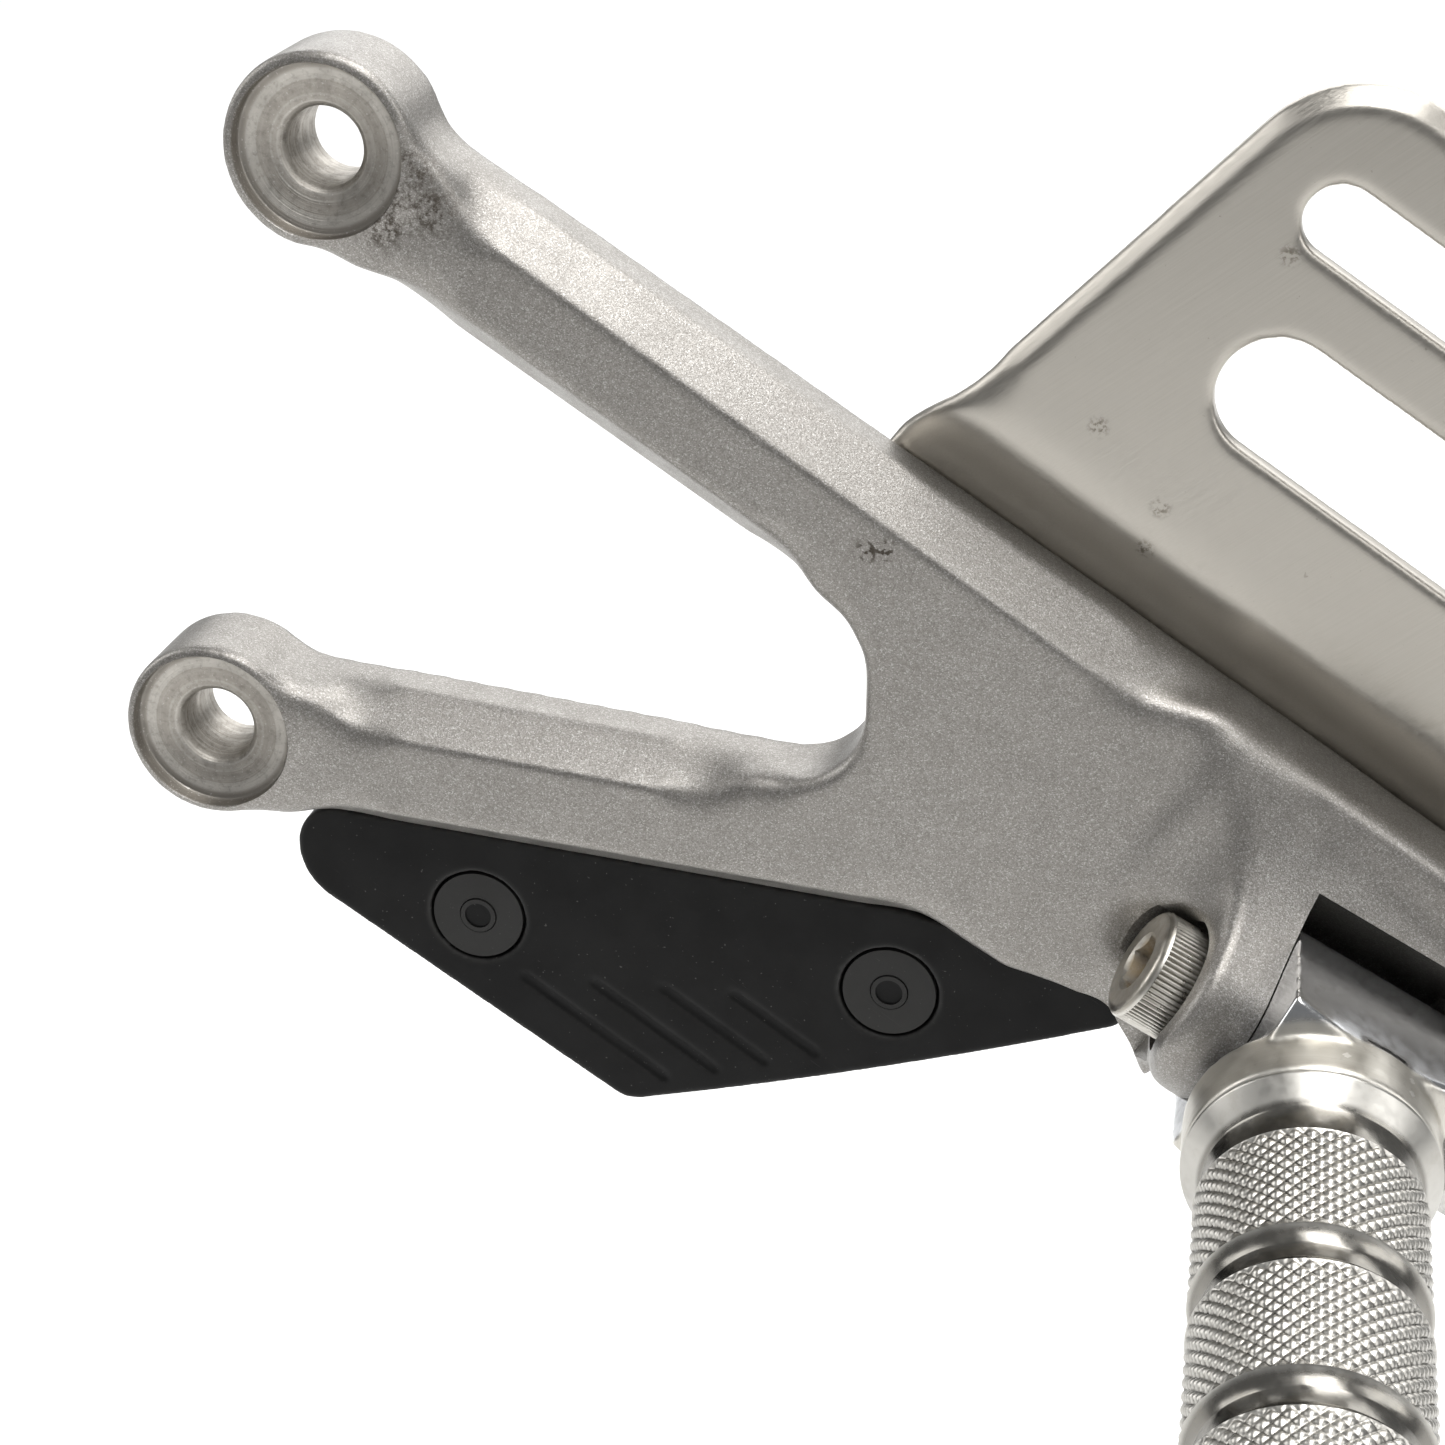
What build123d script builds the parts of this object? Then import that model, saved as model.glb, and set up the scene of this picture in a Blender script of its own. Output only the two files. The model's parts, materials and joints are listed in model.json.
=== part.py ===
from build123d import *
import os
from math import cos, hypot, radians, sin

# Folding footrest for the rider's boot, on its cast frame bracket. Millimetres. +X points to the
# rear along the bracket, +Z up, -Y outboard towards the boot. The origin is on the axis of the
# upper frame bolt, in the flat face of that boss that sits against the frame.

# Bracket casting
PLATE = 12.0  # back face to flat front face of the arms
BOSS = 12.7  # back face to the raised rims of the frame bolt bosses
UPPER_BOSS = (0.0, 0.0)  # plan places are (x, z)
LOWER_BOSS = (-17.4, -70.7)
UPPER_BOSS_R = 11.0
LOWER_BOSS_R = 10.8
FRAME_BOLT_R = 4.5
SPOT_FACE_R = 9.7
SPOT_FACE_DEPTH = 2.2
BORE_CHAMFER = 0.85
BOSS_RIM_ROUND = 0.5
ARM_ANGLE = -33.2  # the upper arm's fall towards the rear
ARM_TOP = 6.5  # upper arm's top edge above the line from the upper boss
ARM_TOP_REAR = 8.0  # the same at the casting's rear end
ARM_BOTTOM = -9.9
CASTING_LENGTH = 168.0  # along the upper arm
CROTCH_X = 61.3
CROTCH_R = 9.0
EDGE_BEVEL = 1.0
BEVEL_OUT = 3.9  # plan width of the broad bevels along the arms
BEVEL_DEPTH = 5.7

# Clevis, in the pivot's own frame: x outboard along the peg, y up, z along the bolt to its head
PIVOT_AT = (114.2, -15.7, -97.2)
BOLT_FALL = 30.8  # degrees, the bolt's fall to the rear
BOLT_YAW = 6.15  # degrees, its turn towards the frame
PEG_DROOP = 7.4  # degrees, the fall of the peg's tip
HALF_GAP = 11.5  # half the space between the ears
EAR_R = 11.0
LEFT_EAR = 19.0
RIGHT_EAR = 19.0
HEAD_SEAT = 13.9
HEAD_SEAT_R = 8.0
HEAD_ROOM_R = 7.2  # clearance along the head where it runs beside the plate
HEAD_ROOM_TO = 27.0
EAR_BORE_R = 4.2
STOP_X = -11.3
SLOT_FLOOR = -11.9
FOLD_FACE = 9.3  # height at which the 45 degree fold face leaves the slot's floor

# Pivot hardware, M8
BOLT_R = 4.0
HEAD_R = 6.63
HEAD_H = 8.0
BOLT_LENGTH = 50.0
SOCKET_R = 3.46  # to the corners of a 6 mm hexagon
WASHER_T = 1.6
WASHER_R = 7.6
NUT_T = 8.0
NUT_R = 7.5  # to the corners of 13 mm flats
BUSH_BORE_R = 4.1
BUSH_R = 5.5
RUNNING = 0.05  # radial running clearance
LINER_R = 7.0

# Return spring
WIRE_R = 0.7
COIL_R = 7.9
COIL_PITCH = 1.6
COIL_TURNS = 2.5
LEG_R = 0.62
EAR_LEG_AT = -84.0  # degrees round the bolt, just inside the coil's first end
TONGUE_LEG_AT = 84.0
SPRING_ROOM_R = 9.2
SPRING_ROOM = 6.0

# Peg
KNUCKLE_HALF = 11.4
KNUCKLE_TOP = 13.6
KNUCKLE_BOTTOM = -10.4
TONGUE_R = 11.0
COLLAR_R = 14.0
COLLAR_FROM = 13.9
COLLAR_TO = 19.6
SPIGOT_R = 7.0
SPIGOT_TO = 74.0
PLAIN_R = 11.6
BAND_R = 12.4
BAND_LENGTH = 14.9
BAND_PITCH = 20.3
BAND_COUNT = 3
FIRST_BAND = 27.3
GROOVE_R = 11.2
GROOVE_CHAMFER = 1.3
PEG_END = 88.0

# Heel guard
SHEET = 3.5
GUARD_FROM = 69.0  # along the arm
GUARD_TO = 152.0
GUARD_TOP = 72.0
GUARD_OUT = 5.0  # how far its joggle brings it outboard
GUARD_BEVEL = 2.1  # filed edge round its outboard face
SCREW_PLACES = (82.0, 111.0, 140.0)
SCREW_R = 3.0

# Lower pad
PAD_FRONT = 6.0
PAD_BACK = 2.5
PAD_RIVETS = ((13.0, -95.3), (64.1, -99.8))
RECESS_R = 6.0
RECESS_DEPTH = 1.5
RIVET_R = 3.0
PAD_GAP = 0.2

BOLT_DIR = Vector(
    cos(radians(BOLT_FALL)) * cos(radians(BOLT_YAW)),
    sin(radians(BOLT_YAW)),
    -sin(radians(BOLT_FALL)) * cos(radians(BOLT_YAW)),
)
PEG_ROUGH = Vector(0.05, -1, -sin(radians(PEG_DROOP)))
PEG_DIR = (PEG_ROUGH - BOLT_DIR * PEG_ROUGH.dot(BOLT_DIR)).normalized()
PIVOT = Plane(origin=PIVOT_AT, x_dir=PEG_DIR, z_dir=-BOLT_DIR)


def on_arm(along, above):
    """Plan point at a distance along the upper arm and above its centre line."""
    c = cos(radians(ARM_ANGLE))
    s = sin(radians(ARM_ANGLE))
    return (along * c - above * s, along * s + above * c)


def outline(*points):
    return make_face(Polyline(*points, close=True))


def rounded(face, corner, radius):
    """The face with its corner nearest to a plan point rounded."""
    vertex = face.vertices().sort_by_distance((corner[0], corner[1], 0))[0]
    return fillet(vertex, radius)


def slab(face, front, back=0.0):
    """A plan face made solid from one depth to another, both counted outboard."""
    return Pos(0, -back, 0) * extrude(Plane.XZ * face, front - back)


def drilled(place, radius, front, back=0.0):
    return slab(Pos(place[0], place[1]) * Circle(radius), front, back)


def along_bolt(face, start, end):
    """A face in the pivot frame made solid between two places along the bolt."""
    return Pos(0, 0, start) * extrude(face, end - start)


def turned(*points):
    """A solid of revolution about the peg's axis from (x, radius) points."""
    return revolve(outline(*points), Axis.X, 360)


def peg_tube(start, end, radius):
    return turned((start, 0), (end, 0), (end, radius), (start, radius))


# ---------------------------------------------------------------- bracket casting

LOWER_EDGE = ((LOWER_BOSS[0], -81.4), (66.0, -88.3), (90.3, -95.4), (93.0, -100.0))
HEEL_OF_CLEVIS = ((95.6, -107.6), (99.0, -110.6), (122.5, -121.9))


def casting_outline():
    """The Y of the bracket: two arms from the bosses that meet and run on to the clevis."""
    rear_top = on_arm(CASTING_LENGTH, ARM_TOP_REAR)
    crotch_low = (CROTCH_X, -71.4)
    crotch_high = (CROTCH_X, -51.9)
    body = outline(
        on_arm(0, ARM_TOP),
        rear_top,
        *reversed(HEEL_OF_CLEVIS),
        *reversed(LOWER_EDGE),
        (LOWER_BOSS[0], -63.3),
        crotch_low,
        crotch_high,
        on_arm(0, ARM_BOTTOM),
    )
    body = rounded(body, crotch_low, CROTCH_R)
    body = rounded(body, crotch_high, CROTCH_R)
    body = rounded(body, rear_top, 7)
    body = rounded(body, HEEL_OF_CLEVIS[2], 8)
    body = body + Circle(UPPER_BOSS_R) + Pos(*LOWER_BOSS) * Circle(LOWER_BOSS_R)
    body = rounded(body, on_arm(8.9, ARM_TOP), 9)
    body = rounded(body, on_arm(4.8, ARM_BOTTOM), 14)
    return rounded(body, (-8.8, -64.2), 9)


def bevel_cutter(start, end, side, run_in, run_out):
    """What a broad bevel takes off, outside a ridge line between two plan points."""
    length = hypot(end[0] - start[0], end[1] - start[1])
    along = Vector((end[0] - start[0]) / length, 0, (end[1] - start[1]) / length)
    out = Vector(-along.Z, 0, along.X) * side
    reach = BEVEL_OUT + 3
    spread = reach / BEVEL_OUT
    first = Vector(start[0], 0, start[1])
    last = Vector(end[0], 0, end[1])
    near = first - along * run_in * spread + out * reach
    far = last + along * run_out * spread + out * reach
    plan = outline(*[(v.X, v.Z) for v in (first, last, far, near)])
    tail = first - along * run_in * spread
    section = outline(
        tail - Vector(0, PLATE, 0),
        tail + out * reach + Vector(0, BEVEL_DEPTH * spread - PLATE, 0),
        tail + out * reach - Vector(0, PLATE + 2, 0),
        tail - Vector(0, PLATE + 2, 0),
    )
    prism = extrude(section, length + (run_in + run_out) * spread, dir=along)
    return slab(plan, PLATE + 3) & prism


def arm_bevels():
    """The four broad bevels: both edges of the upper arm, and both of the lower arm."""
    yield bevel_cutter(on_arm(18, 2.6), on_arm(106, 2.6), 1, 5, 8)
    yield bevel_cutter(on_arm(18, -5.9), on_arm(66, -5.9), -1, 8, 6)
    yield bevel_cutter((0.5, -69.3), (42.4, -73.4), 1, 5, 5)
    yield bevel_cutter((-1.5, -78.9), (66.0, -84.4), -1, 7, 7)


def ear_profile():
    """One ear of the clevis: round outboard, and spreading into the plate inboard."""
    spread = radians(48)
    low = radians(-80)
    upper = (EAR_R * cos(spread), EAR_R * sin(spread))
    lower = (EAR_R * cos(low), EAR_R * sin(low))
    return make_face(
        [
            Line((-12, 26), (-8.4, 26)),
            ThreePointArc((-8.4, 26), (-1.2, 15.4), upper),
            ThreePointArc(upper, (EAR_R, 0), lower),
            Line(lower, (-5, -14)),
            Line((-5, -14), (-12, -17)),
            Line((-12, -17), (-12, 26)),
        ]
    )


def clevis_ears():
    """Both ears, and the hollow flank that carries the front ear down to the plate."""
    front = along_bolt(ear_profile(), HALF_GAP, LEFT_EAR)
    rear = along_bolt(ear_profile(), -RIGHT_EAR, -HALF_GAP)
    flank = outline(
        (14, -12),
        (14, 3.2),
        (19, 3.2),
        (19.8, -0.4),
        (20.8, -2.2),
        (22.5, -4.0),
        (25, -5.4),
        (29, -6.8),
        (29, -12),
    )
    side = Plane(origin=(0, -17, 0), x_dir=(0, 0, 1), z_dir=(0, 1, 0))
    sweep_up = extrude(side * flank, 43)
    heel = outline((19.3, 2.0), (14.6, 12.0), (30, 12.0), (30, 2.0))
    heel_cut = extrude(Plane(origin=(-5.5, 0, 0), x_dir=(0, 0, 1), z_dir=(1, 0, 0)) * heel, 30)
    return front + rear + (sweep_up & along_bolt(ear_profile(), 14, 30)) - heel_cut


def fold_slot():
    """The space the tongue folds into: stop face below, deeper floor and sloped face above."""
    top = FOLD_FACE + 40
    room = outline(
        (STOP_X, -45),
        (STOP_X, -0.5),
        (SLOT_FLOOR, -0.5),
        (SLOT_FLOOR, FOLD_FACE - 0.6),
        (SLOT_FLOOR + 40.6, top),
        (60, top),
        (60, -45),
    )
    return along_bolt(room, -HALF_GAP, HALF_GAP)


def spring_leg(angle, radius, start, end):
    """An axial leg of the return spring, or with a larger radius the hole that holds it."""
    x = COIL_R * cos(radians(angle))
    y = COIL_R * sin(radians(angle))
    return along_bolt(Pos(x, y) * Circle(radius), start, end)


def bracket_casting():
    body = slab(casting_outline(), PLATE)
    front_edges = body.faces().sort_by(Axis.Y)[0].edges()
    body = chamfer(front_edges, EDGE_BEVEL)
    for cutter in arm_bevels():
        body -= cutter
    for place, radius in ((UPPER_BOSS, UPPER_BOSS_R), (LOWER_BOSS, LOWER_BOSS_R)):
        boss = drilled(place, radius, BOSS)
        boss = fillet(boss.faces().sort_by(Axis.Y)[0].edges(), BOSS_RIM_ROUND)
        body += boss
    tab_edge = ((-5, -78), (-5.5, -89), (30, -114.3), (33, -114.6), (62, -107.6), (87, -99.6), (90, -94))
    tab = outline(*tab_edge, (86, -88), (60, -83))
    body += slab(tab, PAD_BACK)
    body += (PIVOT * clevis_ears()) & slab(casting_outline(), PLATE + 40)
    body -= PIVOT * fold_slot()
    body -= PIVOT * along_bolt(Circle(EAR_BORE_R), -30, 30)
    body -= PIVOT * along_bolt(Circle(HEAD_SEAT_R), HEAD_SEAT, LEFT_EAR + 1)
    body -= PIVOT * along_bolt(Circle(HEAD_ROOM_R), HEAD_SEAT, HEAD_ROOM_TO)
    body -= PIVOT * along_bolt(Circle(11.5), -40, -18)
    body -= PIVOT * spring_leg(EAR_LEG_AT, LEG_R + 0.1, -15.5, -HALF_GAP)
    for place in (UPPER_BOSS, LOWER_BOSS):
        body -= drilled(place, SPOT_FACE_R, BOSS + 1, BOSS - SPOT_FACE_DEPTH)
        body -= drilled(place, FRAME_BOLT_R, BOSS + 1, -1)
        body -= bore_chamfer(place)
    for along in SCREW_PLACES:
        body -= drilled(on_arm(along, 0), SCREW_R + 0.9, 9, -1)
    for place in PAD_RIVETS:
        body -= drilled(place, RIVET_R, PAD_BACK + 1, -1)
    return body


def bore_chamfer(place):
    floor = BOSS - SPOT_FACE_DEPTH
    cone = Cone(FRAME_BOLT_R, FRAME_BOLT_R + 2 * BORE_CHAMFER, 2 * BORE_CHAMFER)
    stood = Pos(place[0], -floor, place[1]) * Rot(X=90) * cone
    return stood


# ---------------------------------------------------------------- heel guard


def guard_section():
    """The sheet's section across the arm: flange behind the casting, joggle, outboard face."""
    front = ((-6, 0), (8.5, 0), (16.5, GUARD_OUT), (GUARD_TOP, GUARD_OUT))
    back = ((GUARD_TOP, GUARD_OUT - SHEET), (17.5, GUARD_OUT - SHEET), (9.5, -SHEET), (-6, -SHEET))
    section = outline(*front, *back)
    section = rounded(section, front[1], 3)
    section = rounded(section, back[2], 6)
    section = rounded(section, front[2], 6)
    return rounded(section, back[1], 3)


def guard_plan():
    """The guard's outline, in distances along the arm and above it."""
    top_left = (83.2, GUARD_TOP)
    top_right = (146.0, GUARD_TOP)
    plan = outline(
        (GUARD_FROM, -6),
        (GUARD_FROM, 9),
        (73.7, 23.6),
        top_left,
        top_right,
        (GUARD_TO, 30),
        (GUARD_TO, -6),
    )
    plan = rounded(plan, top_left, 14)
    plan = rounded(plan, top_right, 18)
    plan = rounded(plan, (73.7, 23.6), 12)
    return rounded(plan, (GUARD_FROM, 9), 6)


def guard_slots():
    """The two lightening slots, in the same distances."""
    return Pos(114.5, 37.7) * SlotCenterToCenter(29, 13.7) + Pos(107.0, 56.8) * SlotCenterToCenter(27, 8.2)


def heel_guard():
    """The bent sheet, cut to its outline, bevelled outboard and drilled for its screws."""
    c = cos(radians(ARM_ANGLE))
    s = sin(radians(ARM_ANGLE))

    def plan_plane(depth):
        return Plane(origin=(0, -depth, 0), x_dir=(c, 0, s), z_dir=(0, -1, 0))

    section_plane = Plane(origin=(0, 0, 0), x_dir=(-s, 0, c), z_dir=(c, 0, s))
    shoulder = GUARD_OUT - GUARD_BEVEL
    plan = extrude(plan_plane(-20) * guard_plan(), 20 + shoulder)
    plan += extrude(plan_plane(shoulder) * guard_plan(), GUARD_BEVEL, taper=45)
    sheet = extrude(section_plane * guard_section(), GUARD_TO + 8)
    guard = (plan & sheet) - extrude(plan_plane(-20) * guard_slots(), 40)
    for along in SCREW_PLACES:
        guard -= drilled(on_arm(along, 0), SCREW_R + 0.3, 5, -10)
    return guard


def guard_screws():
    """Button head M6 screws from behind, through the flange into the casting."""
    screws = []
    for along in SCREW_PLACES:
        place = on_arm(along, 0)
        seat = -(SHEET + 1.2)
        screw = drilled(place, SCREW_R, 8, seat) + drilled(place, 5.25, seat, seat - 3.3)
        hexagon = Pos(*place) * RegularPolygon(2.3, 6)
        screw -= slab(hexagon, seat - 1.3, seat - 4)
        screws.append(screw)
    return Compound(children=screws)


def guard_washers():
    rings = []
    for along in SCREW_PLACES:
        place = on_arm(along, 0)
        ring = drilled(place, 6, -SHEET, -SHEET - 1.2) - drilled(place, SCREW_R + 0.2, 0, -10)
        rings.append(ring)
    return Compound(children=rings)


def guard_inserts():
    """Threaded sleeves in the casting for the guard's screws."""
    sleeves = []
    for along in SCREW_PLACES:
        place = on_arm(along, 0)
        sleeves.append(drilled(place, SCREW_R + 0.9, 8.5, 0.3) - drilled(place, SCREW_R, 9, -1))
    return Compound(children=sleeves)


# ---------------------------------------------------------------- lower pad


def pad_outline():
    """A wedge under the lower arm, its upper edge a hair below the casting."""
    left = -9.6
    slope = (LOWER_EDGE[1][1] - LOWER_EDGE[0][1]) / (LOWER_EDGE[1][0] - LOWER_EDGE[0][0])
    left_top = (left, LOWER_EDGE[0][1] + slope * (left - LOWER_EDGE[0][0]) - PAD_GAP)
    left_low = (left - 0.3, -92.2)
    bottom = (31.6, -119.0)
    right = (92.6, -100.6)
    top = [(x - PAD_GAP, z - 1.5 * PAD_GAP) for x, z in LOWER_EDGE[1:3]]
    face = make_face(
        [
            Line(left_top, left_low),
            Line(left_low, bottom),
            ThreePointArc(bottom, (62.0, -110.7), right),
            Line(right, (91.6, -98.6)),
            Line((91.6, -98.6), top[1]),
            Line(top[1], top[0]),
            Line(top[0], left_top),
        ]
    )
    face = rounded(face, left_top, 5)
    face = rounded(face, left_low, 8)
    face = rounded(face, bottom, 4)
    return rounded(face, right, 1.6)


def pad_grooves():
    """Shallow slanted grooves that end on a line parallel to the pad's lower edge."""
    for index in range(4):
        left = 18.2 + 8.75 * index
        length = 22.7 - 3.0 * index
        middle = (left + length / 2 * 0.826, -102.6 + 0.25 * index - length / 2 * 0.563)
        groove = Pos(*middle) * Rot(Z=-34.3) * SlotOverall(length, 1.3)
        yield slab(groove, PAD_FRONT + 1, PAD_FRONT - 0.5)


def lower_pad():
    pad = slab(pad_outline(), PAD_FRONT, PAD_BACK)
    for place in PAD_RIVETS:
        pad -= drilled(place, RECESS_R, PAD_FRONT + 1, PAD_FRONT - RECESS_DEPTH)
        pad -= drilled(place, RIVET_R + 0.1, PAD_FRONT + 1, 0)
    for groove in pad_grooves():
        pad -= groove
    return pad


def pad_rivets():
    """Plastic push rivets: flat head in the recess, split shank through the casting's tab."""
    rivets = []
    for place in PAD_RIVETS:
        seat = PAD_FRONT - RECESS_DEPTH
        rivet = drilled(place, RECESS_R - 0.35, seat + 1.2, seat) + drilled(place, RIVET_R - 0.05, seat, -4)
        rivet -= drilled(place, 1.6, seat + 2, -5)
        rivet -= drilled(place, 2.35, seat + 2, seat + 0.5)
        rivets.append(rivet)
    return Compound(children=rivets)


def pad_rivet_pins():
    """Centre pins pushed home: each head has a raised rim round a shallow dish."""
    pins = []
    for place in PAD_RIVETS:
        seat = PAD_FRONT - RECESS_DEPTH
        pin = drilled(place, 2.2, seat + 1.35, seat + 0.5) + drilled(place, 1.55, seat + 0.5, -3.6)
        pin -= drilled(place, 1.65, seat + 2, seat + 1.1)
        pins.append(pin)
    return Compound(children=pins)


# ---------------------------------------------------------------- pivot hardware


def pivot_bolt():
    """M8 socket cap screw through the clevis, head to the front."""
    seat = HEAD_SEAT + WASHER_T
    head = along_bolt(Circle(HEAD_R), seat, seat + HEAD_H)
    head = chamfer(head.edges().group_by(Axis.Z)[-1], 0.6)
    shank = along_bolt(Circle(BOLT_R), seat - BOLT_LENGTH, seat)
    shank = chamfer(shank.edges().group_by(Axis.Z)[0], 0.7)
    return head + shank - along_bolt(RegularPolygon(SOCKET_R, 6), seat + HEAD_H - 4.2, 60)


def ring(outer, inner, start, end):
    return along_bolt(Circle(outer) - Circle(inner), start, end)


def pivot_washer():
    return ring(WASHER_R, BOLT_R + 0.2, HEAD_SEAT, HEAD_SEAT + WASHER_T)


def nut_washer():
    return ring(8.5, BOLT_R + 0.2, -18 - 1.6, -18)


def pivot_nut():
    """Self-locking M8 nut: hexagon with a plain round collar for its locking ring."""
    seat = -18 - 1.6
    body = along_bolt(RegularPolygon(NUT_R, 6), seat - NUT_T + 1.8, seat)
    body += along_bolt(Circle(6), seat - NUT_T, seat - NUT_T + 1.8)
    return body - along_bolt(Circle(BOLT_R), seat - 20, seat + 1)


def pivot_bush():
    """Steel sleeve clamped between the ears, on which the peg turns."""
    return ring(BUSH_R, BUSH_BORE_R, -HALF_GAP, HALF_GAP)


def knuckle_liners():
    """Bronze liners pressed into the peg's tongue."""
    front = ring(LINER_R, BUSH_R + RUNNING, 3.4, KNUCKLE_HALF)
    rear = ring(LINER_R, BUSH_R + RUNNING, -KNUCKLE_HALF + SPRING_ROOM, 0.4)
    return front + rear


def return_spring():
    """Torsion spring in the tongue's rear face, one leg in the ear and one in the tongue."""
    height = COIL_PITCH * COIL_TURNS
    start = -HALF_GAP + 0.3 + WIRE_R
    path = Helix(COIL_PITCH, height, COIL_R)
    section = Plane(origin=path @ 0, z_dir=path % 0) * Circle(WIRE_R)
    coil = Pos(0, 0, start) * Rot(Z=-90) * sweep(section, path)
    ear_leg = spring_leg(EAR_LEG_AT, LEG_R, -14.8, start)
    tongue_leg = spring_leg(TONGUE_LEG_AT, LEG_R, start + height, -3.6)
    return coil + ear_leg + tongue_leg


# ---------------------------------------------------------------- peg


def tongue_profile():
    """Side view of the knuckle: flat stop face below the pivot, round above it."""
    stop = STOP_X + 0.02
    return make_face(
        [
            Line((stop, KNUCKLE_BOTTOM), (COLLAR_FROM, KNUCKLE_BOTTOM)),
            Line((COLLAR_FROM, KNUCKLE_BOTTOM), (COLLAR_FROM, KNUCKLE_TOP)),
            Line((COLLAR_FROM, KNUCKLE_TOP), (-1, KNUCKLE_TOP)),
            Line((-1, KNUCKLE_TOP), (-6.9, 8.567)),
            ThreePointArc((-6.9, 8.567), (-9.9, 4.794), (-TONGUE_R, 0)),
            Line((-TONGUE_R, 0), (-TONGUE_R, -1)),
            Line((-TONGUE_R, -1), (stop, -1)),
            Line((stop, -1), (stop, KNUCKLE_BOTTOM)),
        ]
    )


def peg_knuckle():
    """Forged knuckle: tongue between the ears, collar, and the spigot that carries the sleeve."""
    block = along_bolt(tongue_profile(), -KNUCKLE_HALF, KNUCKLE_HALF)
    shoulder = turned((-20, 0), (-20, 30), (4.9, 30), (COLLAR_FROM, COLLAR_R), (COLLAR_FROM, 0))
    block = block & shoulder
    collar = peg_tube(COLLAR_FROM - 1.4, COLLAR_TO, COLLAR_R)
    collar = chamfer(collar.edges().group_by(Axis.X)[-1], 0.4)
    spigot = peg_tube(COLLAR_TO, SPIGOT_TO, SPIGOT_R)
    spigot = chamfer(spigot.edges().group_by(Axis.X)[-1], 0.8)
    knuckle = block + collar + spigot
    knuckle -= along_bolt(Circle(LINER_R), -20, 20)
    knuckle -= along_bolt(Circle(SPRING_ROOM_R), -20, -KNUCKLE_HALF + SPRING_ROOM)
    knuckle -= spring_leg(TONGUE_LEG_AT, LEG_R + 0.1, -KNUCKLE_HALF, -3.4)
    knuckle -= Pos(SPIGOT_TO - 18, 0, 0) * peg_tube(0, 30, 3.4)
    knuckle -= dowel_hole()
    return knuckle


def dowel_hole():
    return Pos(0, -10.4, 0) * peg_tube(COLLAR_TO - 4, COLLAR_TO + 4, 1.5)


def sleeve_dowel():
    """Pin that stops the sleeve turning on the spigot."""
    return Pos(0, -10.4, 0) * peg_tube(COLLAR_TO - 3.9, COLLAR_TO + 3.9, 1.5)


def sleeve_profile():
    """Outside of the sleeve: bright cone, plain land, then bands parted by grooves."""
    points = [(COLLAR_TO + 0.03, 0), (COLLAR_TO + 0.03, COLLAR_R)]
    points += [(COLLAR_TO + 3.2, PLAIN_R), (FIRST_BAND - 0.6, PLAIN_R)]
    for index in range(BAND_COUNT):
        start = FIRST_BAND + BAND_PITCH * index
        end = start + BAND_LENGTH
        points += [(start, BAND_R), (end, BAND_R)]
        if index < BAND_COUNT - 1:
            points += [(end + GROOVE_CHAMFER, GROOVE_R), (end + 5.4 - GROOVE_CHAMFER, GROOVE_R)]
    points += [(PEG_END - 2.0, BAND_R), (PEG_END, BAND_R - 2.0), (PEG_END, 0)]
    return points


def peg_sleeve():
    sleeve = turned(*sleeve_profile())
    sleeve -= peg_tube(COLLAR_TO - 1, SPIGOT_TO + 0.5, SPIGOT_R + 0.02)
    sleeve -= peg_tube(SPIGOT_TO, PEG_END + 1, 4.2)
    sleeve -= peg_tube(PEG_END - 6.5, PEG_END + 1, 8.6)
    return sleeve - dowel_hole()


def peg_end_washer():
    start = PEG_END - 6.5
    return turned((start, 4.2), (start, 8.4), (start + 1.6, 8.4), (start + 1.6, 4.2))


def peg_end_bolt():
    """M8 button head screw that holds the sleeve on."""
    seat = PEG_END - 4.9
    head = peg_tube(seat, seat + 4.4, 7)
    head = chamfer(head.edges().group_by(Axis.X)[-1], 1.6)
    hexagon = Plane(origin=(seat + 1.8, 0, 0), x_dir=(0, 1, 0), z_dir=(1, 0, 0)) * RegularPolygon(2.9, 6)
    screw = head + peg_tube(seat - 25, seat, 3.4) - extrude(hexagon, 10)
    return screw + peg_tube(SPIGOT_TO + 0.1, seat, 4.0)


# ---------------------------------------------------------------- all nodes

NODES = {
    "bracket_casting": bracket_casting(),
    "heel_guard": heel_guard(),
    "guard_screws": guard_screws(),
    "guard_washers": guard_washers(),
    "guard_inserts": guard_inserts(),
    "lower_pad": lower_pad(),
    "pad_rivets": pad_rivets(),
    "pad_rivet_pins": pad_rivet_pins(),
    "pivot_bolt": PIVOT * pivot_bolt(),
    "pivot_washer": PIVOT * pivot_washer(),
    "pivot_bush": PIVOT * pivot_bush(),
    "nut_washer": PIVOT * nut_washer(),
    "pivot_nut": PIVOT * pivot_nut(),
    "return_spring": PIVOT * return_spring(),
    "peg_knuckle": PIVOT * peg_knuckle(),
    "knuckle_liners": PIVOT * knuckle_liners(),
    "peg_sleeve": PIVOT * peg_sleeve(),
    "sleeve_dowel": PIVOT * sleeve_dowel(),
    "peg_end_washer": PIVOT * peg_end_washer(),
    "peg_end_bolt": PIVOT * peg_end_bolt(),
}

os.makedirs("parts", exist_ok=True)
for name, shape in NODES.items():
    export_step(shape, "parts/" + name + ".step")
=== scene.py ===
import json
import math

import bmesh
import bpy
import numpy as np
from mathutils import Matrix, Vector
from mathutils.bvhtree import BVHTree


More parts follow.
